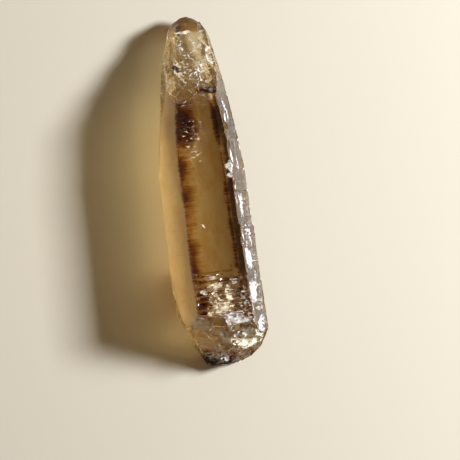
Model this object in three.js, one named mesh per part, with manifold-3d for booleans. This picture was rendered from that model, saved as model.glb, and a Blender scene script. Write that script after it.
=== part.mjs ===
// A smoky-golden Lemurian quartz point, lying on one of its prism faces.
//
// The stone is cut out of a block the way a crystal is bounded in nature: by flat faces, one plane each.
// Breakage, growth ledges and the ladder of cross striations are then cut into it.
//
// Millimetres and degrees. +Y runs along the crystal's long axis from the broken base to the tip, +X is to
// the right and +Z is up. While it is being cut, the base break is at y = 0 and the resting face is at z = 0.
// The finished stone is centred over the origin.
import * as THREE from "three";
import { mergeVertices } from "three/addons/utils/BufferGeometryUtils.js";
import Module from "manifold-3d";

const wasm = await Module();
wasm.setup();

// --- Driving dimensions ------------------------------------------------------------------------------------

const LENGTH = 74; // base break to tip
const FRONT = 14; // height of the front face above the resting face, at the belly
const BELLY = 30; // where along the length the cross-section is measured
const SHOULDER = 42; // from here the prism faces lean in towards the tip
const SCARP = 57; // where the prism ends and the broken termination begins
const BLOCK = 120; // edge of the blocks that cut, longer than the stone

// Corners of the six-sided cross-section at the belly: [x, z].
const FRONT_LEFT = [-5.1, FRONT];
const FRONT_RIGHT = [6.1, FRONT];
const RIGHT_CORNER = [10.2, 7];
const LEFT_CORNER = [-8.9, 7.5];

// --- Solids ------------------------------------------------------------------------------------------------

// A closed three.js geometry as a manifold-3d solid.
function solid(geometry) {
  const bare = new THREE.BufferGeometry();
  bare.setAttribute("position", geometry.getAttribute("position"));
  bare.setIndex(geometry.getIndex());
  const merged = mergeVertices(bare, 1e-4);
  return new wasm.Manifold(
    new wasm.Mesh({
      numProp: 3,
      vertProperties: new Float32Array(merged.getAttribute("position").array),
      triVerts: new Uint32Array(merged.getIndex().array),
    }),
  );
}

// A manifold-3d solid as a flat-shaded three.js geometry.
function geometryOf(body) {
  const { numProp, vertProperties, triVerts } = body.getMesh();
  const points = [];
  for (let i = 0; i < vertProperties.length; i += numProp) {
    points.push(...vertProperties.subarray(i, i + 3));
  }
  const indexed = new THREE.BufferGeometry()
    .setAttribute("position", new THREE.Float32BufferAttribute(points, 3))
    .setIndex([...triVerts]);
  const flat = indexed.toNonIndexed();
  flat.computeVertexNormals();
  return flat;
}

// --- Directions on a face ----------------------------------------------------------------------------------

const ALONG = new THREE.Vector3(0, 1, 0);
const radians = THREE.MathUtils.degToRad;

// turn is how far round the long axis a face looks: 0 is up, 90 right, -90 left, 180 down.
// lean is how far it looks towards the tip (positive) or the base (negative).
// Returns the face's outward normal, the way across it, and the way up it towards the tip.
function faceAxes({ turn, lean }) {
  const normal = new THREE.Vector3(
    Math.sin(radians(turn)) * Math.cos(radians(lean)),
    Math.sin(radians(lean)),
    Math.cos(radians(turn)) * Math.cos(radians(lean)),
  );
  const across = ALONG.clone().cross(normal).normalize();
  const climb = normal.clone().cross(across);
  return { normal, across, climb };
}

// The matrix that stands a tool on a face: its x across the face, y up it towards the tip, z out of it.
function standOn(face, origin, spin = 0) {
  const { normal, across, climb } = faceAxes(face);
  return new THREE.Matrix4()
    .makeBasis(across, climb, normal)
    .setPosition(origin)
    .multiply(new THREE.Matrix4().makeRotationZ(radians(spin)));
}

// The point of a face at a distance y along the stone, moved sideways by offset.
function pointOn(face, y, offset = 0) {
  const { across, climb } = faceAxes(face);
  const start = new THREE.Vector3(...face.at);
  return start
    .addScaledVector(climb, (y - start.y) / climb.y)
    .addScaledVector(across, offset);
}

// --- Flat faces --------------------------------------------------------------------------------------------

function face(turn, lean, x, y, z) {
  return { turn, lean, at: [x, y, z] };
}

const PRISM = {
  front: face(0, 1.2, 0, BELLY, FRONT),
  right: face(60, 1.5, FRONT_RIGHT[0], BELLY, FRONT_RIGHT[1]),
  lowerRight: face(120, 0.8, RIGHT_CORNER[0], BELLY, RIGHT_CORNER[1]),
  resting: face(180, 0, 0, BELLY, 0),
  lowerLeft: face(-120, 0.4, LEFT_CORNER[0], BELLY, LEFT_CORNER[1]),
  left: face(-60, 0.3, FRONT_LEFT[0], BELLY, FRONT_LEFT[1]),
};

// Steeper faces that taper the stone towards its tip.
const TAPER = {
  left: face(-60, 5.5, -5.1, SHOULDER + 2, 13.8),
  leftCorner: face(-90, 8.2, -8.9, SHOULDER - 2, 7.5),
  lowerLeft: face(-120, 8.8, -7.3, SHOULDER, 4.4),
  right: face(60, 7.4, 5.3, SHOULDER + 10.3, 13.5),
  rightCorner: face(90, 7.1, 9.75, SHOULDER, 8),
  lowerRight: face(120, 5.2, 8.2, SHOULDER + 4, 3.2),
  resting: face(180, 6, 0, SHOULDER + 11, 0),
};

// The rounded, worn end.
const TIP = {
  left: face(-78, 10.5, -5.15, 65, 6.5),
  leftEnd: face(-76, 27, -3.95, 69.8, 5),
  leftRound: face(-80, 60, -1.6, 72.3, 4),
  right: face(68, 14, 6.5, 65.5, 6),
  rightEnd: face(72, 30, 5.4, 70.6, 5),
  rightRound: face(56, 54, 3.4, 72.4, 5.2),
  cap: face(-4, 46, 1, 70.6, 6.6),
  end: face(4, 72, 1.6, LENGTH - 0.3, 4.2),
  under: face(176, 35, 2, 71.8, 1.7),
};

// The broken base.
const BASE = {
  front: face(6, -44, 1, 7.8, 14.4),
  chipLeft: face(-30, -50, -5, 10.2, 14.2),
  wedge: face(-20, -64, -2.4, 3.4, 10.4),
  left: face(-93, -28, -6.9, 8.6, 6),
  leftTaper: face(-88, -8, -8.75, 15.5, 7.5),
  leftEnd: face(-64, -44, -6, 7, 9.4),
  right: face(70, -34, 10.6, 6.2, 6.6),
  rightEnd: face(48, -62, 6.9, 3.2, 7.6),
  end: face(-172, -80, 2.4, -0.5, 4),
  under: face(150, -40, 6.5, 1.6, 0),
};

// Takes away all of the body that lies outside a face's plane.
function cleave(body, plane) {
  const block = new THREE.BoxGeometry(BLOCK, BLOCK, BLOCK)
    .translate(0, 0, BLOCK / 2)
    .applyMatrix4(standOn(plane, new THREE.Vector3(...plane.at)));
  return body.subtract(solid(block));
}

// --- The broken termination --------------------------------------------------------------------------------

// Where the front face ends in a ragged ledge: [x, y], from left to right.
const SCARP_LINE = [
  [-20, SCARP + 0.4],
  [-4.4, SCARP + 0.1],
  [-2.6, SCARP - 0.2],
  [-1.5, SCARP - 1.6],
  [-0.6, SCARP - 0.3],
  [0.5, SCARP + 0.5],
  [2.4, SCARP + 0.1],
  [3.9, SCARP + 0.3],
  [5.2, SCARP - 0.8],
  [20, SCARP - 1.2],
];
const LEDGE_DROP = 0.8; // how far the termination lies below the front face at the ledge
const TERMINATION_LEAN = 27; // how steeply the termination falls to the tip

function breakTermination(body) {
  const outline = SCARP_LINE.map(([x, y]) => new THREE.Vector2(x, y - SCARP));
  outline.push(new THREE.Vector2(20, 40), new THREE.Vector2(-20, 40));
  const slab = new THREE.ExtrudeGeometry(new THREE.Shape(outline), {
    depth: FRONT,
    bevelEnabled: false,
  });
  const ledge = pointOn(PRISM.front, SCARP);
  slab
    .rotateX(-radians(TERMINATION_LEAN))
    .translate(0, ledge.y, ledge.z - LEDGE_DROP);
  return body.subtract(solid(slab));
}

// --- Shell-shaped fractures --------------------------------------------------------------------------------

// A shallow round hollow in the face that looks along on. at is a point over or under its middle, wide and
// long are how far it reaches from there across and along the face, deep is how far it goes in.
function hollow(on, at, wide, long, deep, spin = 0) {
  return { on, at, wide, long, deep, spin };
}

const FRACTURES = [
  // On the termination.
  hollow(face(-12, 22), [-3.2, 59.2, 11], 3.6, 3.3, 0.6, 20),
  hollow(face(10, 32), [3.0, 60.0, 11], 3.4, 3.0, 0.6, -12),
  hollow(face(-24, 28), [-3.8, 63.8, 9], 3.2, 3.6, 0.45, 30),
  hollow(face(-2, 24), [0.2, 63.0, 9], 2.9, 2.0, 0.35, 12),
  hollow(face(4, 34), [1.4, 66.6, 8], 2.8, 2.6, 0.4, 8),
  hollow(face(30, 26), [5.4, 63.8, 9], 2.4, 5.2, 0.55, -8),
  hollow(face(-38, 28), [-3.0, 68.0, 7], 2.3, 3.4, 0.35, 14),
  hollow(face(24, 38), [4.4, 68.8, 7], 2.3, 2.4, 0.35, -20),
  hollow(face(-2, 46), [1.0, 70.4, 7], 3.4, 1.9, 0.35, 4),
  // Nicks along the edge between the front and the right face.
  hollow(face(46, 4), [6.2, 43.6, 13], 1.0, 3.2, 0.45, 4),
  hollow(face(42, 0), [6.0, 37.0, 13], 0.8, 1.6, 0.4, -6),
  hollow(face(40, 0), [6.1, 27.5, 13], 0.6, 2.2, 0.3, 3),
  hollow(face(44, 2), [5.6, 51.8, 12], 0.9, 2.4, 0.4, 2),
  // On the broken base.
  hollow(face(-34, -52), [-4.4, 8.8, 13], 2.6, 2.6, 0.5, 15),
  hollow(face(-16, -56), [-1.4, 6.2, 12], 2.5, 4.2, 0.55, -14),
  hollow(face(12, -46), [2.8, 7.0, 13], 3.3, 2.8, 0.6, 10),
  hollow(face(26, -46), [2.4, 4.8, 10.5], 5.0, 1.4, 0.8, 4),
  hollow(face(50, -46), [7.4, 6.0, 11], 2.6, 3.0, 0.45, 5),
  hollow(face(-58, -44), [-6.4, 6.6, 9], 2.4, 3.4, 0.45, 10),
  hollow(face(-40, -66), [-3.2, 3.2, 8], 2.8, 2.6, 0.45, 0),
  hollow(face(4, -56), [0.8, 1.8, 6], 3.4, 1.8, 0.55, 10),
  hollow(face(40, -72), [5.8, 1.6, 6], 3.0, 2.2, 0.4, 0),
  hollow(face(-36, -52), [-2.6, 2.2, 5], 2.2, 1.8, 0.5),
];
const SHELL_EDGE = 0.9; // length of the flats that make up a hollow

// Each hollow is set down on the surface that the body had before any of them was cut.
function breakShells(body) {
  const surface = new THREE.Mesh(geometryOf(body));
  return FRACTURES.reduce((left, { on, at, wide, long, deep, spin }) => {
    const { normal } = faceAxes(on);
    const start = new THREE.Vector3(...at).addScaledVector(normal, BLOCK / 2);
    const sight = new THREE.Raycaster(start, normal.clone().negate());
    const [seat] = sight.intersectObject(surface);
    const radius = (wide * wide + deep * deep) / (2 * deep);
    const shell = new THREE.IcosahedronGeometry(radius, Math.ceil(radius / SHELL_EDGE))
      .scale(1, long / wide, 1)
      .translate(0, 0, radius - deep)
      .applyMatrix4(standOn(on, seat.point, spin));
    return left.subtract(solid(shell));
  }, body);
}

// --- The ladder of cross striations ------------------------------------------------------------------------

// A repeatable stand-in for chance, from 0 to 1.
function chance(seed) {
  const wave = Math.sin(seed * 12.9898 + 4.1414) * 43758.5453;
  return wave - Math.floor(wave);
}

// from and to are distances along the stone, step the usual spacing, deep the usual depth of a rung,
// middle and reach where its rungs lie across the face.
const LADDERS = [
  { on: PRISM.front, from: 9.5, to: 20, step: 0.9, deep: 0.2, middle: -0.2, reach: 11 },
  { on: PRISM.front, from: 22, to: 55, step: 4.1, deep: 0.07, middle: 0, reach: 8 },
  { on: PRISM.left, from: 14, to: 42, step: 4.6, deep: 0.07, middle: -3.6, reach: 6.2 },
  { on: PRISM.right, from: 10, to: 41, step: 1.6, deep: 0.18, middle: 3.9, reach: 8.6 },
  { on: PRISM.lowerRight, from: 10, to: 40, step: 3.3, deep: 0.12, middle: 3.6, reach: 6 },
  { on: PRISM.lowerLeft, from: 12, to: 40, step: 3.9, deep: 0.1, middle: -4.2, reach: 6 },
];
const RUNG_SPREAD = 2.4; // width of a rung over its depth

// One V-shaped groove across a face.
function rung(body, on, y, offset, length, depth) {
  const groove = new THREE.CylinderGeometry(1, 1, 1, 4)
    .scale(depth, length, (depth * RUNG_SPREAD) / 2)
    .rotateZ(Math.PI / 2)
    .rotateX(Math.PI / 2)
    .applyMatrix4(standOn(on, pointOn(on, y, offset)));
  return body.subtract(solid(groove));
}

function ladder(body, { on, from, to, step, deep, middle, reach }, number) {
  let y = from;
  for (let i = 0; y < to; i++) {
    const luck = chance(number * 31 + i);
    const other = chance(number * 57 + i * 3);
    const length = reach * (0.45 + 0.55 * other);
    const offset = middle + (reach - length) * (luck - 0.5);
    body = rung(body, on, y, offset, length, deep * (0.5 + luck));
    y += step * (0.55 + 0.9 * other);
  }
  return body;
}

// --- The stone ---------------------------------------------------------------------------------------------

function cutCrystal() {
  const rough = new THREE.BoxGeometry(LENGTH, LENGTH * 2, LENGTH).translate(0, LENGTH / 2, 0);
  let body = solid(rough);
  for (const group of [PRISM, TAPER, BASE, TIP]) {
    body = Object.values(group).reduce(cleave, body);
  }
  body = breakTermination(body);
  body = breakShells(body);
  return LADDERS.reduce(ladder, body);
}

const smokyQuartz = new THREE.MeshStandardMaterial({
  name: "smoky_quartz",
  color: 0x9c7234,
  roughness: 0.12,
  metalness: 0,
});

const crystal = new THREE.Mesh(geometryOf(cutCrystal()), smokyQuartz);
crystal.name = "crystal";
const box = new THREE.Box3().setFromBufferAttribute(crystal.geometry.getAttribute("position"));
const middle = box.getCenter(new THREE.Vector3());
crystal.position.set(-middle.x, -middle.y, -box.min.z);

const part = new THREE.Group();
part.add(crystal);
export default part;
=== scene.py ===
"""A smoky golden Lemurian quartz point, lying on one of its prism faces on a pale floor.

The stone is cleaved out of a block, one plane for each crystal face. Its ends are then broken, chips are
knocked off it, the ladders of cross striations are cut, and the fine relief of growth, etching and wear is
pressed into the surface.

It is cut in millimetres, with the broken base near y = 0, the tip at y = 74 and the resting face at z = 0.
When it is finished, it is brought to metres and centred over the origin.
"""

import math

import bpy
import numpy as np
from mathutils import Matrix, Vector, noise


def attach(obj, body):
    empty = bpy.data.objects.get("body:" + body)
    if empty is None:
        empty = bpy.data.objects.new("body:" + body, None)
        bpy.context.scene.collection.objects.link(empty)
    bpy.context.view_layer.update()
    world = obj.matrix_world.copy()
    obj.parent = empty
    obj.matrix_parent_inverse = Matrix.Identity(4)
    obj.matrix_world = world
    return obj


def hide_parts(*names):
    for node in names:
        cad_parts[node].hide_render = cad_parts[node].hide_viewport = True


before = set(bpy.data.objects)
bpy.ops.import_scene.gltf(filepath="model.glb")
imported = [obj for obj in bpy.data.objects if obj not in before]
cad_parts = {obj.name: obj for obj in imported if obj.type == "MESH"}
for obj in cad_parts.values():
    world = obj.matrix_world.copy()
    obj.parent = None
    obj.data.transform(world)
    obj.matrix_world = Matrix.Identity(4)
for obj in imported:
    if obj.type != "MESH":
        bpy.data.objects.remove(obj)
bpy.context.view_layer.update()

MM = 0.001

# --- The crystal's faces -----------------------------------------------------------------------------------

LENGTH = 74  # base break to tip
FRONT = 14  # height of the front face above the resting face, at the belly
BELLY = 30  # where along the length the cross-section is measured
SHOULDER = 42  # from here the prism faces lean in towards the tip
SCARP = 57  # where the prism ends and the broken termination begins

# Each face: how far round the long axis it looks (0 up, 90 right, -90 left, 180 down), how far it leans
# towards the tip (or, negative, towards the base), and one point of it.
PRISM = {
    "front": (0, 1.2, (0, BELLY, FRONT)),
    "right": (60, 1.5, (6.1, BELLY, FRONT)),
    "lower right": (120, 0.8, (10.2, BELLY, 7)),
    "resting": (180, 0, (0, BELLY, 0)),
    "lower left": (-120, 0.4, (-8.9, BELLY, 7.5)),
    "left": (-60, 0.3, (-5.1, BELLY, FRONT)),
}
TAPER = {
    "left taper": (-60, 5.5, (-5.1, SHOULDER + 2, 13.8)),
    "left corner": (-90, 8.2, (-8.9, SHOULDER - 2, 7.5)),
    "lower left taper": (-120, 8.8, (-7.3, SHOULDER, 4.4)),
    "right taper": (60, 7.4, (5.3, SHOULDER + 10.3, 13.5)),
    "right corner": (90, 7.1, (9.75, SHOULDER, 8)),
    "lower right taper": (120, 5.2, (8.2, SHOULDER + 4, 3.2)),
    "resting taper": (180, 6, (0, SHOULDER + 11, 0)),
}
BASE = {
    "base front": (6, -44, (1, 7.8, 14.4)),
    "base chip": (-30, -50, (-5, 10.2, 14.2)),
    "base wedge": (-20, -64, (-2.4, 3.4, 10.4)),
    "base left": (-93, -28, (-6.9, 8.6, 6)),
    "base left taper": (-88, -8, (-8.75, 15.5, 7.5)),
    "base left end": (-64, -44, (-6, 7, 9.4)),
    "base right": (70, -34, (10.6, 6.2, 6.6)),
    "base right end": (48, -62, (6.9, 3.2, 7.6)),
    "base end": (-172, -80, (2.4, -0.5, 4)),
    "base under": (150, -40, (6.5, 1.6, 0)),
}
TIP = {
    "tip left": (-78, 10.5, (-5.15, 65, 6.5)),
    "tip left end": (-76, 27, (-3.95, 69.8, 5)),
    "tip left round": (-80, 60, (-1.6, 72.3, 4)),
    "tip right": (68, 14, (6.5, 65.5, 6)),
    "tip right end": (72, 30, (5.4, 70.6, 5)),
    "tip right round": (56, 54, (3.4, 72.4, 5.2)),
    "tip cap": (-4, 46, (1, 70.6, 6.6)),
    "tip end": (4, 72, (1.6, LENGTH - 0.3, 4.2)),
    "tip under": (176, 35, (2, 71.8, 1.7)),
}

# The ragged ledge where the front face ends: x, and how far beyond the scarp it lies.
SCARP_LINE = [
    (-20, 0.4),
    (-4.4, 0.1),
    (-2.6, -0.2),
    (-1.5, -1.6),
    (-0.6, -0.3),
    (0.5, 0.5),
    (2.4, 0.1),
    (3.9, 0.3),
    (5.2, -0.8),
    (20, -1.2),
]
LEDGE_DROP = 0.8  # how far the termination lies below the front face at the ledge
TERMINATION_LEAN = 27  # degrees from the long axis
SLAB = 40  # edge of the block that stands for what was split off
TOOTH = 0.25  # width and height of the ledge's smallest teeth
TOOTH_CHANGE, TOOTH_CHOICE = 2.1, 3.3  # how fast the teeth change along the ledge, and which teeth they are
LEDGE_ENDS = (-9.75, 10)

# Shell-shaped fractures: turn and lean of the face they lie in, a point over or under their middle, how far
# they reach across and along, how deep they go, and their spin.
FRACTURES = [
    # on the termination
    (-12, 22, (-3.2, 59.2, 11), 3.6, 3.3, 0.6, 20),
    (10, 32, (3.0, 60.0, 11), 3.4, 3.0, 0.6, -12),
    (-24, 28, (-3.8, 63.8, 9), 3.2, 3.6, 0.45, 30),
    (-2, 24, (0.2, 63.0, 9), 2.9, 2.0, 0.35, 12),
    (4, 34, (1.4, 66.6, 8), 2.8, 2.6, 0.4, 8),
    (30, 26, (5.4, 63.8, 9), 2.4, 5.2, 0.55, -8),
    (-38, 28, (-3.0, 68.0, 7), 2.3, 3.4, 0.35, 14),
    (24, 38, (4.4, 68.8, 7), 2.3, 2.4, 0.35, -20),
    (-2, 46, (1.0, 70.4, 7), 3.4, 1.9, 0.35, 4),
    # nicks along the edge between the front and the right face
    (46, 4, (6.2, 43.6, 13), 1.0, 3.2, 0.45, 4),
    (42, 0, (6.0, 37.0, 13), 0.8, 1.6, 0.4, -6),
    (40, 0, (6.1, 27.5, 13), 0.6, 2.2, 0.3, 3),
    (44, 2, (5.6, 51.8, 12), 0.9, 2.4, 0.4, 2),
    # on the broken base
    (-34, -52, (-4.4, 8.8, 13), 2.6, 2.6, 0.5, 15),
    (-16, -56, (-1.4, 6.2, 12), 2.5, 4.2, 0.55, -14),
    (12, -46, (2.8, 7.0, 13), 3.3, 2.8, 0.6, 10),
    (26, -46, (2.4, 4.8, 10.5), 5.0, 1.4, 0.8, 4),
    (50, -46, (7.4, 6.0, 11), 2.6, 3.0, 0.45, 5),
    (-58, -44, (-6.4, 6.6, 9), 2.4, 3.4, 0.45, 10),
    (-40, -66, (-3.2, 3.2, 8), 2.8, 2.6, 0.45, 0),
    (4, -56, (0.8, 1.8, 6), 3.4, 1.8, 0.55, 10),
    (40, -72, (5.8, 1.6, 6), 3.0, 2.2, 0.4, 0),
    (-36, -52, (-2.6, 2.2, 5), 2.2, 1.8, 0.5, 0),
    # a furrow beside its left corner, and a small flake off that
    (8, -38, (-1.3, 9.0, 14), 1.7, 2.8, 1.1, -8),
    (22, -30, (-4.7, 8.0, 13), 1.1, 1.6, 0.45, -20),
    # a small pit in the front face
    (24, 4, (-1.55, 29.7, 14.5), 0.26, 0.75, 0.14, 28),
]

# Sharp three-sided chips: turn and lean of the way into them, a point over them, how deep they go, and their
# spin.
CHIPS = [
    # on the left corner of the broken base
    (-10, -34, (-5.2, 10.3, 13), 0.7, 35),
    (-6, -40, (-4.1, 9.3, 13), 0.6, 40),
    # along its right side
    (20, -44, (0.9, 4.9, 12), 0.9, 60),
    (26, -46, (3.2, 5.0, 12), 1.0, 70),
    (36, -44, (5.6, 5.4, 12), 1.1, 80),
    (36, -44, (7.4, 6.2, 12), 0.8, 70),
    # at its foot
    (-4, -50, (-0.9, 2.7, 7), 0.7, 70),
    (8, -48, (1.7, 2.3, 7), 0.6, 85),
    (12, -50, (3.3, 2.9, 7), 0.7, 60),
    # beside the right edge of the front face
    (24, 3, (5.4, 41.4, 14), 0.6, 25),
    (28, 2, (5.5, 39.6, 14), 0.5, 25),
    # on the termination
    (-4, 24, (-2.7, 65.6, 12), 0.35, 10),
    (4, 28, (2.8, 63.6, 12), 0.55, 5),
]
CHIP_BLOCK = 6  # edge of the block whose corner bites in

# Ladders of cross striations: the face, from and to along the stone, the usual step and depth of a rung, and
# the middle and reach of the rungs across the face.
LADDERS = [
    ("front", 9.5, 20, 0.9, 0.2, -0.2, 11),
    ("front", 22, 55, 4.1, 0.07, 0, 8),
    ("left", 24, 46, 6.2, 0.05, -3.6, 6.2),
    ("right", 11, 40, 2.7, 0.055, 3.9, 8.6),
    ("lower right", 10, 40, 3.3, 0.09, 3.6, 6),
    ("lower left", 16, 40, 6.4, 0.07, -4.2, 6),
]
RUNG_SPREAD = 2.4  # width of a rung over its depth
SHORTEST_RUNG = 0.45  # its length over the reach of its ladder
SHALLOWEST_RUNG = 0.5  # its depth over the usual one
CLOSEST_RUNG, RUNG_SCATTER = 0.55, 0.9  # the shortest step over the usual one, and how much chance adds to it
RUNG_LIFT = 0.3  # how far the middle of a rung's bar stands over its face, over the rung's depth
SHELL_CAP = 4  # how much of a shell's ball is kept over the surface that it is set on
SHELL_ROUNDNESS = 5
ON_PLANE = 1e-4  # a corner this close to a crystal face's plane lies on it
MERGED = 0.01  # corners closer than this become one


def axes_of(turn, lean):
    """A face's way across, its way up towards the tip, and its outward normal."""
    turn, lean = math.radians(turn), math.radians(lean)
    normal = Vector((math.sin(turn) * math.cos(lean), math.sin(lean), math.cos(turn) * math.cos(lean)))
    across = Vector((0, 1, 0)).cross(normal).normalized()
    return across, normal.cross(across), normal


def stand_on(turn, lean, origin, spin=0):
    """The matrix that stands a tool on a face: its x across the face, y up it and z out of it."""
    turned = Matrix(axes_of(turn, lean)).transposed().to_4x4()
    return Matrix.Translation(origin) @ turned @ Matrix.Rotation(math.radians(spin), 4, "Z")


def point_on(face, y, offset=0):
    """The point of a face at a distance y along the stone, moved sideways by offset."""
    turn, lean, at = face
    across, climb, _ = axes_of(turn, lean)
    return Vector(at) + climb * ((y - at[1]) / climb.y) + across * offset


def chance(seed):
    """A repeatable stand-in for chance, from 0 to 1."""
    wave = math.sin(seed * 12.9898 + 4.1414) * 43758.5453
    return wave - math.floor(wave)


def only(piece):
    """Makes a piece the only selected one, and the active one."""
    bpy.ops.object.select_all(action="DESELECT")
    piece.select_set(True)
    bpy.context.view_layer.objects.active = piece


def cut_away(stone, tool, crossing=False):
    """Takes a tool's solid out of the stone, and throws the tool away. A crossing tool may overlap itself."""
    only(stone)
    cut = stone.modifiers.new("cut", "BOOLEAN")
    cut.operation, cut.solver, cut.use_self, cut.object = "DIFFERENCE", "EXACT", crossing, tool
    bpy.ops.object.modifier_apply(modifier=cut.name)
    bpy.data.objects.remove(tool)


def cleave_stone():
    """A block with everything outside each crystal face struck off."""
    bpy.ops.object.select_all(action="DESELECT")
    bpy.ops.mesh.primitive_cube_add(size=2 * LENGTH, location=(0, LENGTH / 2, 0))
    stone = bpy.context.object
    stone.name = stone.data.name = "crystal_stone"
    bpy.ops.object.transform_apply()
    bpy.ops.object.mode_set(mode="EDIT")
    for group in (PRISM, TAPER, BASE, TIP):
        for turn, lean, at in group.values():
            bpy.ops.mesh.select_all(action="SELECT")
            bpy.ops.mesh.bisect(
                plane_co=at,
                plane_no=axes_of(turn, lean)[2],
                use_fill=True,
                clear_outer=True,
                threshold=ON_PLANE,
            )
    bpy.ops.mesh.select_all(action="SELECT")
    bpy.ops.mesh.remove_doubles(threshold=MERGED)
    bpy.ops.mesh.normals_make_consistent(inside=False)
    bpy.ops.object.mode_set(mode="OBJECT")
    return stone


def break_termination(stone):
    """Splits off what lay over the termination, along a ragged ledge."""
    bpy.ops.object.select_all(action="DESELECT")
    bpy.ops.mesh.primitive_cube_add(size=SLAB, location=(0, SLAB / 2, SLAB / 2))
    slab = bpy.context.object
    bpy.ops.object.transform_apply()
    bpy.ops.object.mode_set(mode="EDIT")
    for x in np.arange(*LEDGE_ENDS, TOOTH):
        bpy.ops.mesh.select_all(action="SELECT")
        bpy.ops.mesh.bisect(plane_co=(x, 0, 0), plane_no=(1, 0, 0))
    bpy.ops.object.mode_set(mode="OBJECT")
    xs, ys = zip(*SCARP_LINE)
    for v in slab.data.vertices:
        if v.co.y < SLAB / 2:
            tooth = TOOTH * noise.noise((v.co.x * TOOTH_CHANGE, TOOTH_CHOICE, 0))
            v.co.y = np.interp(v.co.x, xs, ys) + tooth
    ledge = point_on(PRISM["front"], SCARP) - Vector((0, 0, LEDGE_DROP))
    tipped = Matrix.Rotation(-math.radians(TERMINATION_LEAN), 4, "X")
    slab.data.transform(Matrix.Translation(ledge) @ tipped)
    cut_away(stone, slab)


def seats_of(breaks, stone):
    """Where each of a list of breaks meets the surface, before any of them is made."""
    bpy.context.view_layer.update()
    seats = []
    for turn, lean, at, *_ in breaks:
        normal = axes_of(turn, lean)[2]
        hit, seat, *_ = stone.ray_cast(Vector(at) + normal * LENGTH, -normal)
        if not hit:
            raise RuntimeError(f"a break has no surface under it: {at}")
        seats.append(seat)
    return seats


def knock_chips(stone):
    """Three-sided pits, each bitten in by a block's corner. Returns their places, and how deep they are."""
    on_its_corner = Vector((1, 1, 1)).rotation_difference(Vector((0, 0, 1))).to_matrix().to_4x4()
    seats = seats_of(CHIPS, stone)
    for seat, (turn, lean, _, deep, spin) in zip(seats, CHIPS):
        bpy.ops.object.select_all(action="DESELECT")
        bpy.ops.mesh.primitive_cube_add(size=CHIP_BLOCK)
        block = bpy.context.object
        lift = Matrix.Translation((0, 0, CHIP_BLOCK * math.sqrt(3) / 2 - deep))
        block.data.transform(stand_on(turn, lean, seat, spin) @ lift @ on_its_corner)
        cut_away(stone, block)
    return [(tuple(seat), chip[3]) for seat, chip in zip(seats, CHIPS)]


def break_shells(stone):
    """Shell-shaped hollows, each the cap of a ball that is drawn out along its face."""
    for seat, (turn, lean, _, wide, long, deep, spin) in zip(seats_of(FRACTURES, stone), FRACTURES):
        radius = (wide * wide + deep * deep) / (2 * deep)
        bpy.ops.object.select_all(action="DESELECT")
        bpy.ops.mesh.primitive_ico_sphere_add(
            subdivisions=SHELL_ROUNDNESS, radius=radius, location=(0, 0, radius - deep)
        )
        shell = bpy.context.object
        bpy.ops.object.transform_apply()
        bpy.ops.object.mode_set(mode="EDIT")
        bpy.ops.mesh.select_all(action="SELECT")
        bpy.ops.mesh.bisect(
            plane_co=(0, 0, SHELL_CAP), plane_no=(0, 0, 1), use_fill=True, clear_outer=True
        )
        bpy.ops.object.mode_set(mode="OBJECT")
        drawn_out = Matrix.Diagonal((1, long / wide, 1, 1))
        shell.data.transform(stand_on(turn, lean, seat, spin) @ drawn_out)
        cut_away(stone, shell)


def cut_ladders(stone):
    """V-shaped rungs across the prism faces."""
    for number, (name, start, end, step, deep, middle, reach) in enumerate(LADDERS):
        rungs = []
        y, i = start, 0
        while y < end:
            luck, other = chance(number * 31 + i), chance(number * 57 + i * 3)  # two draws for each rung
            length = reach * (SHORTEST_RUNG + (1 - SHORTEST_RUNG) * other)
            depth = deep * (SHALLOWEST_RUNG + luck)
            offset = middle + (reach - length) * (luck - 0.5)
            bpy.ops.object.select_all(action="DESELECT")
            bpy.ops.mesh.primitive_cylinder_add(
                vertices=4, radius=1, depth=1, rotation=(0, math.pi / 2, 0)
            )
            rung = bpy.context.object
            bpy.ops.object.transform_apply()
            turn, lean, _ = PRISM[name]
            place = stand_on(turn, lean, point_on(PRISM[name], y, offset))
            lift = Matrix.Translation((0, 0, RUNG_LIFT * depth))
            thick = (1 + RUNG_LIFT) * depth
            bar = Matrix.Diagonal((length, thick * RUNG_SPREAD / 2, thick, 1))
            rung.data.transform(place @ lift @ bar)
            rungs.append(rung)
            y += step * (CLOSEST_RUNG + RUNG_SCATTER * other)
            i += 1
        for rung in rungs:
            rung.select_set(True)
        bpy.ops.object.join()
        cut_away(stone, bpy.context.object, crossing=True)


# --- Fine relief -------------------------------------------------------------------------------------------

CELL = 1.2  # the coarse net over the whole stone
ON_NET = 1e-3  # a corner this close to a line of the net lies on it
SLIVER = 0.004  # edges shorter than this are closed up
SPAN = {(0, 1, 0): (0, LENGTH), (1, 0, 0): (-9.6, 10.4), (0, 0, 1): (0, 14.4)}  # what the net covers each way


def slice_up(stone):
    """Cuts the flat faces into a net of small ones that can carry relief. The hollows keep theirs."""
    only(stone)
    bpy.ops.object.mode_set(mode="EDIT")
    bpy.ops.mesh.select_mode(type="FACE")
    bpy.ops.mesh.select_all(action="DESELECT")
    bpy.ops.object.mode_set(mode="OBJECT")
    stone.data.polygons.foreach_set("select", areas(stone) < CELL * CELL)
    bpy.ops.object.mode_set(mode="EDIT")
    bpy.ops.mesh.hide()
    for direction, (low, high) in SPAN.items():
        for at in np.arange(low + CELL / 2, high, CELL):
            bpy.ops.mesh.select_all(action="SELECT")
            spot = Vector(direction) * float(at)
            bpy.ops.mesh.bisect(plane_co=spot, plane_no=direction, threshold=ON_NET)
    bpy.ops.mesh.reveal(select=True)
    bpy.ops.mesh.select_all(action="SELECT")
    bpy.ops.mesh.dissolve_degenerate(threshold=SLIVER)
    bpy.ops.mesh.quads_convert_to_tris()
    bpy.ops.object.mode_set(mode="OBJECT")


def areas(stone):
    """The area of each face."""
    sizes = np.empty(len(stone.data.polygons))
    stone.data.polygons.foreach_get("area", sizes)
    return sizes


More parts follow.
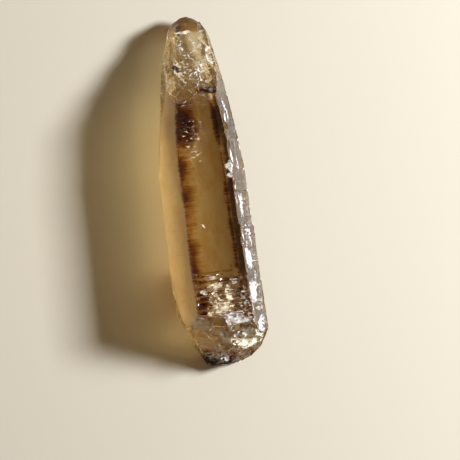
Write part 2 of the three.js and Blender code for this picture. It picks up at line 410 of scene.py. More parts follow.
def centres(stone):
    """The middle of each face."""
    spots = np.empty(len(stone.data.polygons) * 3)
    stone.data.polygons.foreach_get("center", spots)
    return spots.reshape(-1, 3)


def corners(stone):
    """The place of each vertex."""
    spots = np.empty(len(stone.data.vertices) * 3)
    stone.data.vertices.foreach_get("co", spots)
    return spots.reshape(-1, 3)


# The largest triangle, in square millimetres, that still carries each zone's relief.
FINEST = {
    "front": 0.12,
    "band": 0.02,
    "right": 0.04,
    "left": 0.07,
    "lower right": 0.08,
    "lower left": 0.2,
    "resting": 0.25,
    "base": 0.035,
    "termination": 0.035,
}
FINEST_ELSEWHERE = 0.3
IN_ZONE = 0.5  # a triangle that belongs to a zone by more than this is made as fine as the zone
HALVINGS = 4
ON_FACE = 0.02  # a point this close to a crystal face lies on it
BASE_ENDS = 20  # no break of the base reaches further along the stone than this
TERMINATION_STARTS = 54
BAND = (8, 18, 3)  # from and to along the stone, and how far the band of ladders fades at its ends
CAP = (70.6, LENGTH, 0.8)  # the same for the tip's cap


def refine(stone):
    """Halves the edges of every triangle that is too large for its zone, a few times over."""
    only(stone)
    for _ in range(HALVINGS):
        largest = np.full(len(stone.data.polygons), FINEST_ELSEWHERE)
        zones = zones_of(centres(stone))
        for zone, size in FINEST.items():
            largest[zones[zone] > IN_ZONE] = size
        bpy.ops.object.mode_set(mode="EDIT")
        bpy.ops.mesh.select_all(action="DESELECT")
        bpy.ops.object.mode_set(mode="OBJECT")
        stone.data.polygons.foreach_set("select", areas(stone) > largest)
        bpy.ops.object.mode_set(mode="EDIT")
        bpy.ops.mesh.subdivide(number_cuts=1)
        bpy.ops.mesh.select_all(action="SELECT")
        bpy.ops.mesh.quads_convert_to_tris()
        bpy.ops.object.mode_set(mode="OBJECT")


def lies_on(points, *names):
    """Which points lie on one of the named crystal faces."""
    on = np.zeros(len(points), bool)
    for turn, lean, at in ({**PRISM, **TAPER}[name] for name in names):
        on |= np.abs((points - np.array(at)) @ np.array(axes_of(turn, lean)[2])) < ON_FACE
    return on


def between(values, low, high, fade):
    """1 from low to high, fading to 0 within a distance fade on both sides."""
    return np.clip((values - low) / fade + 1, 0, 1) * np.clip((high - values) / fade + 1, 0, 1)


def zones_of(points):
    """How far each point belongs to each zone of the surface, from 0 to 1."""
    y = points[:, 1]
    front = lies_on(points, "front")
    right = lies_on(points, "right", "right taper")
    left = lies_on(points, "left", "left taper", "left corner")
    lower_right = lies_on(points, "lower right", "lower right taper", "right corner")
    lower_left = lies_on(points, "lower left", "lower left taper")
    resting = lies_on(points, "resting", "resting taper")
    broken = ~(front | right | left | lower_right | lower_left | resting)
    return {
        "front": front.astype(float),
        "band": front * between(y, *BAND),
        "right": right.astype(float),
        "left": left.astype(float),
        "lower right": lower_right.astype(float),
        "lower left": lower_left.astype(float),
        "resting": resting.astype(float),
        "base": (broken & (y < BASE_ENDS)).astype(float),
        "termination": (broken & (y > TERMINATION_STARTS)).astype(float),
        "cap": between(y, *CAP),
        "left corner": lies_on(points, "left corner").astype(float),
        "right edge": (front & right).astype(float),
        "edges": ((front & left) | (right & lower_right) | (left & lower_left)).astype(float),
    }


# zone, kind of pattern, its grain, how far it is stretched across the stone and along it, its depth
RELIEF = [
    ("front", "CLOUDS", 5.0, 1.0, 1.6, 0.05),
    ("front", "CLOUDS", 0.8, 9.0, 1.0, 0.012),
    ("band", "CLOUDS", 0.7, 3.5, 1.0, 0.32),
    ("band", "VORONOI", 0.9, 1.4, 1.0, 0.16),
    ("right", "CLOUDS", 0.9, 4.0, 1.0, 0.2),
    ("right", "CLOUDS", 0.9, 1.0, 4.5, 0.34),
    ("left", "CLOUDS", 4.0, 1.0, 1.6, 0.12),
    ("left", "CLOUDS", 0.9, 9.0, 1.0, 0.035),
    ("lower right", "CLOUDS", 0.5, 9.0, 1.0, 0.12),
    ("lower left", "CLOUDS", 3.0, 1.0, 1.6, 0.06),
    ("resting", "CLOUDS", 3.0, 1.0, 1.6, 0.03),
    ("base", "VORONOI", 1.6, 1.0, 1.4, 0.46),
    ("base", "CLOUDS", 0.6, 1.0, 1.0, 0.2),
    ("termination", "VORONOI", 1.5, 1.0, 1.0, 0.24),
    ("termination", "CLOUDS", 0.5, 1.6, 1.0, 0.08),
    ("right edge", "CLOUDS", 0.8, 1.0, 1.5, 0.3),
    ("edges", "CLOUDS", 1.2, 1.0, 1.5, 0.07),
]
RELIEF_CONTRAST = 1.6
CLOUD_DETAIL = 2
APART = (17.3, 5.1)  # how far each pattern is moved on from the one before, across the stone and along it


def press_relief(stone):
    """Presses each zone's patterns into the surface, inwards only."""
    for zone, weights in zones_of(corners(stone)).items():
        group = stone.vertex_groups.new(name=zone)
        for weight in np.unique(weights[weights > 0]):
            group.add(np.flatnonzero(weights == weight).tolist(), float(weight), "REPLACE")
    only(stone)
    for number, (zone, kind, grain, across, along, depth) in enumerate(RELIEF):
        pattern = bpy.data.textures.new(f"{zone} {number}", kind)
        pattern.noise_scale = grain
        if kind == "CLOUDS":
            pattern.noise_depth = CLOUD_DETAIL
        pattern.contrast = RELIEF_CONTRAST
        stretch = bpy.data.objects.new("stretch", None)
        bpy.context.scene.collection.objects.link(stretch)
        stretch.scale = (across, along, across)
        stretch.location = (number * APART[0], number * APART[1], 0)
        bpy.context.view_layer.update()
        press = stone.modifiers.new(zone, "DISPLACE")
        press.texture, press.texture_coords, press.texture_coords_object = pattern, "OBJECT", stretch
        press.vertex_group, press.strength, press.mid_level = zone, depth, 1.0
        bpy.ops.object.modifier_apply(modifier=press.name)
        bpy.data.objects.remove(stretch)


def hold_inside(stone):
    """Brings whatever the relief left standing proud of a crystal face back to it."""
    points = corners(stone)
    for turn, lean, at in {**PRISM, **TAPER, **BASE, **TIP}.values():
        normal = np.array(axes_of(turn, lean)[2])
        points -= np.maximum((points - np.array(at)) @ normal, 0)[:, None] * normal
    stone.data.vertices.foreach_set("co", points.ravel())
    stone.data.update()


# --- What the surface shows --------------------------------------------------------------------------------

# Each zone's roughness, how white it is frosted, how strongly it is lined across and streaked along, and the
# tint of its skin. Where zones overlap, the later one wins.
FINISH = {
    "front": (0.04, 0.0, 0.27, 0.0, 0xFFFFFF),
    "band": (0.26, 0.0, 1.0, 0.0, 0xFFFFFF),
    "right": (0.75, 0.03, 0.4, 1.0, 0xE2E8F0),
    "left": (0.3, 0.0, 0.6, 0.5, 0xF8F4EE),
    "left corner": (0.8, 0.0, 0.35, 0.5, 0xFFFFFF),
    "lower right": (0.3, 0.0, 1.0, 0.0, 0xFFFFFF),
    "lower left": (0.3, 0.0, 0.4, 0.0, 0xA49C86),
    "resting": (0.9, 0.0, 0.6, 0.0, 0xFFFFFF),
    "base": (0.14, 0.03, 0.0, 0.0, 0xB09C74),
    "termination": (0.22, 0.07, 0.0, 0.0, 0xCCBE9C),
    "cap": (0.4, 0.0, 0.0, 0.0, 0x967644),
}
PLAIN = (0.2, 0.0, 0.0, 0.0)  # the same for what lies in no zone, where the skin has no tint

# Where the surface is white, partly bruised and partly painted white to stand in for glints: middle, reach,
# strength and how warm the white is.
BRUISES_AND_GLINTS = [
    # down the right face: bruised white, with painted glints on its etched facets
    ((8.7, 14, 10), (4, 11, 6), 0.5, 0.1),
    ((7.7, 21, 11.4), (2.2, 3.6, 3.4), 2.0, 0.1),
    ((7.6, 14.6, 11.6), (2.6, 3.4, 3.6), 2.0, 0.1),
    ((8.8, 7.8, 9.6), (2.4, 3.2, 3.6), 1.8, 0.1),
    ((8.2, 26, 11), (2.6, 6, 4), 0.85, 0.1),
    ((7.3, 33, 11.5), (1.6, 3.4, 2), 1.2, 0.1),
    ((7.9, 43, 9.6), (1.0, 5.5, 2), 1.3, 0.1),
    ((6.7, 53, 10.4), (2, 6, 3), 0.9, 0.1),
    # painted glints on the nicks beside the front face's right edge
    ((5.7, 41, 13.4), (1.3, 2.6, 1.4), 2.0, 0.5),
    # on the ladder band at the foot of the front face
    ((-0.7, 16.8, 14.2), (2.6, 1.2, 2), 1.5, 1.0),
    ((1.8, 14.9, 14.2), (1.5, 3, 2), 1.6, 1.0),
    ((-0.1, 12.0, 14.2), (4.2, 2.4, 2), 1.6, 0.9),
    ((-1.0, 14.4, 14.2), (3.2, 3.6, 2), 1.05, 1.0),
    ((2.7, 9.2, 14.2), (6, 3.4, 2.4), 1.45, 0.2),
    ((4.6, 13.2, 14.2), (3.6, 4, 2), 1.05, 0.2),
    ((-1.5, 18.5, 14.2), (1.9, 0.7, 1), 1.4, 0.6),
    ((3.4, 17.2, 14.2), (1.0, 1.0, 1), 1.5, 0.6),
    ((-3.4, 15.6, 14.2), (1.5, 1.2, 1), 1.3, 0.4),
    ((-2.7, 11.0, 14.2), (0.7, 0.6, 1), 3.0, 0.7),
    # on the broken base
    # painted white standing in for the silvery glints on the left corner of the base
    ((-4.7, 9.2, 12.2), (3.0, 3.6, 3), 2.3, 0.5),
    ((0.8, 5.0, 10.4), (3.4, 2, 3.2), 1.7, 0.5),
    ((6.2, 4.6, 9.2), (5.6, 3.0, 6), 1.75, 0.7),
    ((0.2, 2.0, 4.6), (7, 3.4, 4), 1.25, 0.3),
    # on the termination
    ((2.8, 63.1, 9.4), (2.2, 3.2, 2.2), 1.05, 0.2),
    ((5.1, 65, 8.0), (1.6, 9, 2.5), 1.1, 0.3),
    ((-0.8, 62.6, 9.4), (3.6, 3.6, 2.4), 1.0, 0.5),
    ((2.4, 60.6, 10.3), (0.34, 2.4, 1.4), 1.6, 0.6),
    ((1.0, 70.7, 5.2), (3.4, 0.6, 1.4), 1.7, 0.8),
    ((-2.4, 55.4, 13.4), (2.4, 2.2, 1), 1.0, 0.4),
    # dust and small pits on the front face
    ((-1.2, 47.5, 13.6), (4.8, 9, 1.0), 0.8, 0.7),
    # a painted glint in the small pit
    ((-1.5, 29.65, 13.84), (0.6, 1.2, 0.13), 2.5, 0.3),
]
CHIP_BRUISE_AND_GLINT = (2.2, 1.9, 0.35)  # reach of the white round a chip over its depth, its strength and warmth: partly bruised white, partly painted white standing in for glints on the chip's facets

# Where the whole skin is frosted by a haze: middle, reach and strength.
HAZES = [
    ((2.8, 67.0, 6.8), (2.2, 3.4, 2), 0.4),
    ((-5.2, 61, 8.6), (2, 9, 4), 0.34),
    ((3.4, 8.0, 13.0), (5, 4, 2), 0.2),
    ((6.4, 4.2, 9), (4, 3, 5), 0.5),
]

# Where the stone is darkened, most of it painted shade: middle, reach and strength. A few spots are rust that
# has soaked in; the rest stand in for the dark that the stone shows by internal reflection of its shaded
# side, and for shadow.
STAINS_AND_SHADE = [
    # painted shade on the resting face and at the upper left of the front face, for the dark that the front
    # face shows there by internal reflection
    ((-0.6, 52, 0), (3.2, 7, 2), 0.5),
    ((-4.2, 51.5, 13.6), (5.4, 9, 1.2), 1.25),
    # painted shade down the left of the front face and of its ladder band, for the same internally reflected
    # dark
    ((-5.6, 40, 14), (4.6, 24, 1), 0.97),
    ((-5.6, 22, 14), (4, 14, 1), 0.94),
    ((-4.2, 13.4, 14.2), (3, 5.8, 1.2), 1),
    # painted shade along the lower right face and its taper: the dark strip beside the front face, which is
    # internally reflected shade
    ((7.6, 34, 1.2), (2.8, 48, 3.6), 1.95),
    ((6.4, 52, 1.2), (2.6, 9, 3.4), 1.75),
    # painted shadow in the step under the ragged ledge at the scarp
    ((3.2, 57.9, 12.4), (3.6, 1.5, 1.8), 1.25),
    # a dark speck on the termination
    ((-2.6, 63.0, 9.4), (1.1, 1.3, 1.4), 1.6),
    # darker at the foot of the base
    ((-1, 0.8, 3), (8, 4.4, 5.6), 1.2),
    # darker on the lower left, which also dims the light that passes out of it towards the floor
    ((-5.5, 16, 3), (5, 12, 6), 0.75),
]

# Where healed cracks show as a net of fine veins: middle, reach and strength.
VEINS = [
    ((0, 63, 8), (11, 11, 10), 1.6),
    ((0, 7.5, 11), (9, 5, 5), 1.1),
    ((8.5, 30, 10), (3, 34, 6), 0.6),
]
SOFTNESS = 1.5  # a spot's strength holds over the first third of its reach, and then fades


def spread(points, spots):
    """The strength of the strongest of a list of soft spots at each point, and which spot that is."""
    strengths = []
    for middle, reach, strength, *_ in spots:
        off = np.linalg.norm((points - np.array(middle)) / np.array(reach), axis=1)
        strengths.append(strength * np.clip(SOFTNESS * (1 - off), 0, 1))
    return np.max(strengths, axis=0), np.argmax(strengths, axis=0)


def mark(stone, name, domain, values):
    """Writes a value for each face or point of the stone, which its material reads."""
    marked = stone.data.attributes.new(name, "FLOAT", domain)
    marked.data.foreach_set("value", np.asarray(values, np.float32))


def mark_surface(stone, zones, chips):
    """Writes the finish of each zone on the faces, and the bruises and painted glints, the stains and painted
    shade, and the veins on the points.
    """
    numbers = np.tile(PLAIN, (len(stone.data.polygons), 1))
    skin = np.ones((len(stone.data.polygons), 4), np.float32)
    for zone, finish in FINISH.items():
        share = zones[zone][:, None]
        numbers += share * (np.array(finish[:4]) - numbers)
        skin += share * (np.array(srgb(finish[4])) - skin)
    numbers[:, 1] += spread(centres(stone), HAZES)[0]
    for name, values in zip(("etch", "frost", "lined", "streaked"), numbers.T):
        mark(stone, name, "FACE", values)
    tinted = stone.data.attributes.new("skin", "FLOAT_COLOR", "FACE")
    tinted.data.foreach_set("color", skin.ravel())
    points = corners(stone)
    reach, strength, warmth = CHIP_BRUISE_AND_GLINT
    # each chip gets a white spot, partly its bruise and partly painted white standing in for glints on its
    # facets
    bruises_and_glints = BRUISES_AND_GLINTS + [(seat, (deep * reach,) * 3, strength, warmth) for seat, deep in chips]
    bruise_and_glint, nearest = spread(points, bruises_and_glints)
    mark(stone, "bruise_and_glint", "POINT", bruise_and_glint)
    mark(stone, "warmth", "POINT", np.array([spot[3] for spot in bruises_and_glints])[nearest])
    # rust stains and painted shade
    mark(stone, "stain_and_shade", "POINT", spread(points, STAINS_AND_SHADE)[0])
    mark(stone, "veined", "POINT", spread(points, VEINS)[0])


def srgb(value):
    """An sRGB hex colour as linear RGBA."""
    parts = [((value >> shift) & 255) / 255 for shift in (16, 8, 0)]
    return tuple(c / 12.92 if c <= 0.04045 else ((c + 0.055) / 1.055) ** 2.4 for c in parts) + (1.0,)


# --- What the stone is made of -----------------------------------------------------------------------------

# Natural quartz, grown, etched and worn. It is glassy and honey brown right through. Its etched faces are
# dull and finely lined, and what is bruised shows as white flecks. Some white flecks are painted glints, and
# painted shade darkens it like rust where it looks dark by internal reflection and under its ledge.

# Sizes of the patterns, in millimetres, and how far each is squeezed along the stone (under 1: drawn out).
# The growth lines and the etching are finer on a real stone, and are drawn as coarse as they need to show.
LINE, LINE_SQUEEZE = 4.0, 15  # growth lines, a quarter of a millimetre apart
FLECK, FLECK_SQUEEZE = 0.8, 1.7  # bruised flecks, and white flecks painted to stand in for glints
STREAK, STREAK_SQUEEZE = 1.2, 0.3  # streaks that run along the stone
CRACK_CELL, CRACK_BEND, CRACK_WAVER = 2.0, 2.0, 1.5  # the net of healed cracks, and how it is bent
CLOUD = 3.0  # patches of rust
VEIL, VEIL_SQUEEZE = 2.2, 0.4  # honey veils
PITTING = 0.35  # the finest etching
ETCH_HEIGHT = 0.06

GRAIN_SWING, STREAK_SWING = (-0.3, 1.3), (-0.8, 0.8)  # the contrast of the flecks' grain and of the streaks
BRUISE_AND_GLINT_PULL, LINE_PULL = 0.3, 0.8  # how strongly the bruises and painted glints, and the growth lines, bring flecks out
FLECK_EDGE = (0.84, 0.92)  # where a fleck begins, and where it is white all over
CRACK_EDGE = 0.09  # half a crack's width over its cell
CRACK_SHOWS = (0.46, 0.62)  # the grain at which a crack begins to show, and shows fully
VEIL_EDGE = (0.32, 0.54)  # between these, a veil thins out
THICK_VEIL, THIN_VEIL = 0xEEE0CC, 0xFFFFFF
# the white of bruises and of painted glints, from cool to warm
COOL_WHITE, WARM_WHITE = 0xE6E6EC, 0xFFF3D4
CLOUD_SWING = (-0.45, 1.05)  # the contrast of the rust's patches
STAIN_AND_SHADE_PULL, LINE_HOLD = 1.3, 3.5  # how strongly stain and painted shade spots bring the rust tint out, and how strongly the growth lines hold it
RUST_AND_SHADE_EDGE = (0.72, 1.8)  # where rust and painted shade begin to tint the stone, and where they are thickest
RUST_AND_SHADE_COLOURS = [(0.3, 0xC09A6C), (0.6, 0x70401C), (0.8, 0x40160C), (1.0, 0x280C08)]  # rust and painted shade colours, by thickness
CRUST_AND_SHADE_EDGE = (1.85, 2.3)  # where rust and painted shade begin to cover the stone, and where they cover it most
# how much of the light rust and painted shade keep out where they cover it most
CRUST_AND_SHADE_COVER = 0.8
WHITE_COVER = 0.75  # how much of the light the white of a bruise and of a painted glint keeps out
CRUST_AND_SHADE_DULL, WHITE_DULL = 0.6, 0.3  # how much rougher rust and painted shade, and bruises and painted glints, make the skin
LINE_HEIGHT, LINE_WEAR = 2.0, 0.3  # how far the growth lines stand over the pitting, and how worn they are
SMOKE, SMOKE_DENSITY = 0xFDE799, 84.0  # what deep quartz lets through, and how soon it shows


def add(tree, kind, settings=None, links=None, output=0):
    """Adds a node and gives one of its outputs. Settings name properties or inputs, links name inputs."""
    made = tree.nodes.new(kind)
    for key, value in (settings or {}).items():
        if isinstance(key, int) or key in made.inputs:
            made.inputs[key].default_value = value
        else:
            setattr(made, key, value)
    for key, source in (links or {}).items():
        tree.links.new(source, made.inputs[key])
    return made.outputs[output] if made.outputs else made


def growth_lines(tree, place, lined):
    """Fine lines across the stone, as a value that swings to both sides of nought."""
    drawn = add(tree, "ShaderNodeMapping", {"Scale": (1, LINE_SQUEEZE, 1)}, {"Vector": place})
    lines = add(
        tree,
        "ShaderNodeTexNoise",
        {"Scale": 1 / (LINE * MM), "Detail": 3.0, "Roughness": 0.6},
        {"Vector": drawn},
    )
    centred = add(tree, "ShaderNodeMath", {"operation": "SUBTRACT", 1: 0.5}, {0: lines})
    return add(tree, "ShaderNodeMath", {"operation": "MULTIPLY"}, {0: centred, 1: lined})


def bruised_and_glinting_flecks(tree, place, grain, swing, bruise_and_glint, streaked):
    """White flecks, partly bruises and partly painted glints, as thick as the white spot there is strong, and
    broken up by the lines and streaks.
    """
    low, high = GRAIN_SWING
    coarse = add(
        tree, "ShaderNodeMapRange", {"To Min": low, "To Max": high, "clamp": False}, {"Value": grain}
    )
    lifted = add(
        tree, "ShaderNodeMath", {"operation": "MULTIPLY_ADD", 1: BRUISE_AND_GLINT_PULL}, {0: bruise_and_glint, 2: coarse}
    )
    lined_up = add(
        tree, "ShaderNodeMath", {"operation": "MULTIPLY_ADD", 1: LINE_PULL}, {0: swing, 2: lifted}
    )
    drawn = add(tree, "ShaderNodeMapping", {"Scale": (1, STREAK_SQUEEZE, 1)}, {"Vector": place})
    streaks = add(
        tree, "ShaderNodeTexNoise", {"Scale": 1 / (STREAK * MM), "Detail": 4.0}, {"Vector": drawn}
    )
    low, high = STREAK_SWING
    leaning = add(
        tree, "ShaderNodeMapRange", {"To Min": low, "To Max": high, "clamp": False}, {"Value": streaks}
    )
    broken = add(
        tree, "ShaderNodeMath", {"operation": "MULTIPLY_ADD"}, {0: leaning, 1: streaked, 2: lined_up}
    )
    begins, full = FLECK_EDGE
    return add(tree, "ShaderNodeMapRange", {"From Min": begins, "From Max": full}, {"Value": broken})


def healed_cracks(tree, place, grain, veined):
    """A wavering net of white veins that comes and goes."""
    waver = add(
        tree,
        "ShaderNodeTexNoise",
        {"Scale": 1 / (CRACK_WAVER * MM), "Detail": 3.0},
        {"Vector": place},
        output="Color",
    )
    bent = add(
        tree,
        "ShaderNodeVectorMath",
        {"operation": "MULTIPLY_ADD", 1: (CRACK_BEND * MM,) * 3},
        {0: waver, 2: place},
    )
    net = add(
        tree,
        "ShaderNodeTexVoronoi",
        {"feature": "DISTANCE_TO_EDGE", "Scale": 1 / (CRACK_CELL * MM)},
        {"Vector": bent},
        output="Distance",
    )
    thin = add(
        tree,
        "ShaderNodeMapRange",
        {"From Min": 0.0, "From Max": CRACK_EDGE, "To Min": 1.0, "To Max": 0.0},
        {"Value": net},
    )
    begins, full = CRACK_SHOWS
    partly = add(tree, "ShaderNodeMapRange", {"From Min": begins, "From Max": full}, {"Value": grain})
    shown = add(tree, "ShaderNodeMath", {"operation": "MULTIPLY"}, {0: thin, 1: partly})
    return add(tree, "ShaderNodeMath", {"operation": "MULTIPLY"}, {0: shown, 1: veined})


def rust_and_shade_held(tree, place, swing, stain_and_shade):
    """How much rust and painted shade the stone holds: cloudy, and caught in the growth lines."""
    cloud = add(
        tree,
        "ShaderNodeTexNoise",
        {"Scale": 1 / (CLOUD * MM), "Detail": 5.0, "Roughness": 0.6},
        {"Vector": place},
    )
    low, high = CLOUD_SWING
    patchy = add(
        tree, "ShaderNodeMapRange", {"To Min": low, "To Max": high, "clamp": False}, {"Value": cloud}
    )
    soaked_and_shaded = add(
        tree, "ShaderNodeMath", {"operation": "MULTIPLY_ADD", 1: STAIN_AND_SHADE_PULL}, {0: stain_and_shade, 2: patchy}
    )
    return add(
        tree, "ShaderNodeMath", {"operation": "MULTIPLY_ADD", 1: LINE_HOLD}, {0: swing, 2: soaked_and_shaded}
    )


def stone_colour(tree, place, skin, rust_and_shade, white, warmth):
    """The skin's tint behind honey veils, tinted by rust and painted shade, and white where it is bruised or
    where a glint is painted.
    """
    drawn = add(tree, "ShaderNodeMapping", {"Scale": (1, VEIL_SQUEEZE, 1)}, {"Vector": place})
    veil = add(
        tree,
        "ShaderNodeTexNoise",
        {"Scale": 1 / (VEIL * MM), "Detail": 5.0, "Roughness": 0.6},
        {"Vector": drawn},
    )
    begins, full = VEIL_EDGE
    thinned = add(tree, "ShaderNodeMapRange", {"From Min": begins, "From Max": full}, {"Value": veil})
    honey = add(
        tree,
        "ShaderNodeMix",
        {"data_type": "RGBA", 6: srgb(THICK_VEIL), 7: srgb(THIN_VEIL)},
        {"Factor": thinned},
        output=2,
    )
    tint = {"data_type": "RGBA", "blend_type": "MULTIPLY", "Factor": 1.0}
    veiled = add(tree, "ShaderNodeMix", tint, {6: skin, 7: honey}, output=2)
    begins, full = RUST_AND_SHADE_EDGE
    rust_and_shade_depth = add(tree, "ShaderNodeMapRange", {"From Min": begins, "From Max": full}, {"Value": rust_and_shade})
    rust_and_shade_colour = add(tree, "ShaderNodeValToRGB", None, {"Fac": rust_and_shade_depth})
    stops = rust_and_shade_colour.node.color_ramp.elements
    stops[0].color, stops[1].color = srgb(0xFFFFFF), srgb(RUST_AND_SHADE_COLOURS[-1][1])
    for at, shade in RUST_AND_SHADE_COLOURS[:-1]:
        stops.new(at).color = srgb(shade)
    rust_and_shade_tinted = add(tree, "ShaderNodeMix", tint, {6: veiled, 7: rust_and_shade_colour}, output=2)
    white_tone = add(
        tree,
        "ShaderNodeMix",
        {"data_type": "RGBA", 6: srgb(COOL_WHITE), 7: srgb(WARM_WHITE)},
        {"Factor": warmth},
        output=2,
    )
    return add(
        tree, "ShaderNodeMix", {"data_type": "RGBA"}, {"Factor": white, 6: rust_and_shade_tinted, 7: white_tone}, output=2
    )


def smoky_quartz():
    """Natural quartz, IOR 1.544: see-through and honey brown, etched on its prism faces, bruised white, with
    painted glints and painted shade.
    """
    material = bpy.data.materials.new("smoky_quartz")
    material.use_nodes = True
    tree = material.node_tree
    tree.nodes.clear()
    place = add(tree, "ShaderNodeTexCoord", output="Object")
    etch, frost, lined, streaked, bruise_and_glint, warmth, stain_and_shade, veined = (
        add(tree, "ShaderNodeAttribute", {"attribute_name": name}, output="Fac")
        for name in ("etch", "frost", "lined", "streaked", "bruise_and_glint", "warmth", "stain_and_shade", "veined")
    )
    skin = add(tree, "ShaderNodeAttribute", {"attribute_name": "skin"}, output="Color")

    swing = growth_lines(tree, place, lined)
    flat = add(tree, "ShaderNodeMapping", {"Scale": (1, FLECK_SQUEEZE, 1)}, {"Vector": place})
    grain = add(
        tree,
        "ShaderNodeTexNoise",
        {"Scale": 1 / (FLECK * MM), "Detail": 6.0, "Roughness": 0.72},
        {"Vector": flat},
    )
    flecks_and_glints = bruised_and_glinting_flecks(tree, place, grain, swing, bruise_and_glint, streaked)
    veins = healed_cracks(tree, place, grain, veined)
    white = add(tree, "ShaderNodeMath", {"operation": "MAXIMUM"}, {0: flecks_and_glints, 1: veins})
    rust_and_shade = rust_and_shade_held(tree, place, swing, stain_and_shade)
    colour = stone_colour(tree, place, skin, rust_and_shade, white, warmth)

    # where rust and painted shade are thick, they cover the stone and dull it
    begins, full = CRUST_AND_SHADE_EDGE
    crust_and_shade = add(
        tree,
        "ShaderNodeMapRange",
        {"From Min": begins, "From Max": full, "To Max": CRUST_AND_SHADE_COVER},
        {"Value": rust_and_shade},
    )
    dull = add(tree, "ShaderNodeMath", {"operation": "MULTIPLY_ADD", 1: CRUST_AND_SHADE_DULL}, {0: crust_and_shade, 2: etch})
    rough = add(
        tree,
        "ShaderNodeMath",
        {"operation": "MULTIPLY_ADD", "use_clamp": True, 1: WHITE_DULL},
        {0: white, 2: dull},
    )
    whitened = add(
        tree, "ShaderNodeMath", {"operation": "MULTIPLY_ADD", 1: WHITE_COVER}, {0: white, 2: frost}
    )
    covered = add(
        tree, "ShaderNodeMath", {"operation": "ADD", "use_clamp": True}, {0: crust_and_shade, 1: whitened}
    )
    clear = add(tree, "ShaderNodeMath", {"operation": "SUBTRACT", 0: 1.0}, {1: covered})

    pits = add(tree, "ShaderNodeTexNoise", {"Scale": 1 / (PITTING * MM), "Detail": 3.0}, {"Vector": flat})
    height = add(
        tree, "ShaderNodeMath", {"operation": "MULTIPLY_ADD", 1: LINE_HEIGHT}, {0: swing, 2: pits}
    )
    worn = add(tree, "ShaderNodeMath", {"operation": "MULTIPLY_ADD", 1: LINE_WEAR}, {0: lined, 2: etch})
    bump = add(
        tree, "ShaderNodeBump", {"Distance": ETCH_HEIGHT * MM}, {"Strength": worn, "Height": height}
    )
    surface = add(
        tree,
        "ShaderNodeBsdfPrincipled",
        {"IOR": 1.544},
        {"Base Color": colour, "Roughness": rough, "Transmission Weight": clear, "Normal": bump},
    )
    depth = add(tree, "ShaderNodeVolumeAbsorption", {"Color": srgb(SMOKE), "Density": SMOKE_DENSITY})
    add(tree, "ShaderNodeOutputMaterial", None, {"Surface": surface, "Volume": depth})
    return material


CRISP = math.radians(24)  # edges that turn more than this stay crisp


def finish_stone(stone):
    """Brings the stone to metres and to its place in the frame. Returns where its cutting origin went."""
    stone.data.transform(Matrix.Scale(MM, 4))
    points = corners(stone)
    low, high = points.min(axis=0), points.max(axis=0)
    moved = -Vector(((low[0] + high[0]) / 2, (low[1] + high[1]) / 2, low[2]))
    stone.data.transform(Matrix.Translation(moved))
    only(stone)
    bpy.ops.object.shade_smooth_by_angle(angle=CRISP)
    stone.data.materials.clear()
    stone.data.materials.append(smoky_quartz())
    return moved


stone = cleave_stone()
break_termination(stone)
break_shells(stone)
chips = knock_chips(stone)
cut_ladders(stone)
slice_up(stone)
refine(stone)
mark_surface(stone, zones_of(centres(stone)), chips)
press_relief(stone)
hold_inside(stone)
moved = finish_stone(stone)
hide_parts("crystal")
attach(stone, "root")


# --- Floor, light and camera -------------------------------------------------------------------------------

FLOOR_SIZE, FLOOR_GAP = 6, 0.01 * MM
PAPER = 0xDED8C8  # matt cream paper, which takes a soft shadow and has no shine
ROOM_COLOUR, ROOM_LIGHT = 0xFFDCAE, 0.16
KEY_HEIGHT = math.radians(32)
KEY_TOWARD = (math.cos(KEY_HEIGHT), 0.12, math.sin(KEY_HEIGHT))
KEY_DISTANCE, KEY_SIZE, KEY_POWER, KEY_COLOUR = 0.6, 0.13, 6.6, 0xFBFDFF
CAMERA_AIM = Vector((3.79, 28.0, 14.0)) * MM  # in the stone's cutting coordinates
CAMERA_LEAN = math.radians(10)  # how far the camera stands to the left of straight above
CAMERA_TWIST = math.radians(7.25)  # how far the stone's length turns from the view's upright
CAMERA_DISTANCE, CAMERA_FIELD = 1.6, 0.0966
SENSOR = 36


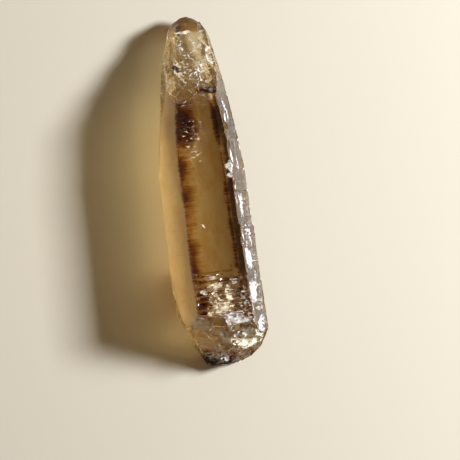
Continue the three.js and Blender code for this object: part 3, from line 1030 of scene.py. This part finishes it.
def lay_floor():
    """A plain sheet of matt paper, a hair below the stone."""
    bpy.ops.object.select_all(action="DESELECT")
    bpy.ops.mesh.primitive_plane_add(size=FLOOR_SIZE, location=(0, 0, -FLOOR_GAP))
    floor = bpy.context.object
    floor.name = "floor"
    paper = bpy.data.materials.new("matt_paper")
    paper.use_nodes = True
    shader = paper.node_tree.nodes["Principled BSDF"]
    shader.inputs["Base Color"].default_value = srgb(PAPER)
    shader.inputs["Roughness"].default_value = 0.9
    shader.inputs["Specular IOR Level"].default_value = 0.1
    floor.data.materials.append(paper)


def light_room():
    """A warm room and one softbox, low on the right."""
    scene = bpy.context.scene
    scene.world = bpy.data.worlds.new("room")
    scene.world.use_nodes = True
    background = scene.world.node_tree.nodes["Background"]
    background.inputs["Color"].default_value = srgb(ROOM_COLOUR)
    background.inputs["Strength"].default_value = ROOM_LIGHT
    softbox = bpy.data.lights.new("key", "AREA")
    softbox.shape = "RECTANGLE"
    softbox.size = softbox.size_y = KEY_SIZE
    softbox.energy = KEY_POWER
    softbox.color = srgb(KEY_COLOUR)[:3]
    key = bpy.data.objects.new("key", softbox)
    scene.collection.objects.link(key)
    away = Vector(KEY_TOWARD).normalized()
    turned = away.to_track_quat("Z", "Y").to_matrix().to_4x4()
    key.matrix_world = Matrix.Translation(away * KEY_DISTANCE) @ turned
    scene.view_settings.view_transform = "Standard"
    scene.cycles.sample_clamp_indirect = 0


def set_camera():
    """A long lens almost straight above, with the stone's length nearly upright in its view."""
    look = Vector((math.sin(CAMERA_LEAN), 0, -math.cos(CAMERA_LEAN)))
    side = Vector((math.cos(CAMERA_LEAN), 0, math.sin(CAMERA_LEAN)))
    along = Vector((0, 1, 0))
    right = side * math.cos(CAMERA_TWIST) - along * math.sin(CAMERA_TWIST)
    up = side * math.sin(CAMERA_TWIST) + along * math.cos(CAMERA_TWIST)
    camera = bpy.data.objects.new("camera", bpy.data.cameras.new("camera"))
    bpy.context.scene.collection.objects.link(camera)
    stand = Matrix.Translation(CAMERA_AIM + moved - look * CAMERA_DISTANCE)
    camera.matrix_world = stand @ Matrix((right, up, -look)).transposed().to_4x4()
    camera.data.sensor_width = SENSOR
    camera.data.lens = SENSOR * CAMERA_DISTANCE / CAMERA_FIELD
    camera.data.clip_start = 0.01
    bpy.context.scene.camera = camera


lay_floor()
light_room()
set_camera()
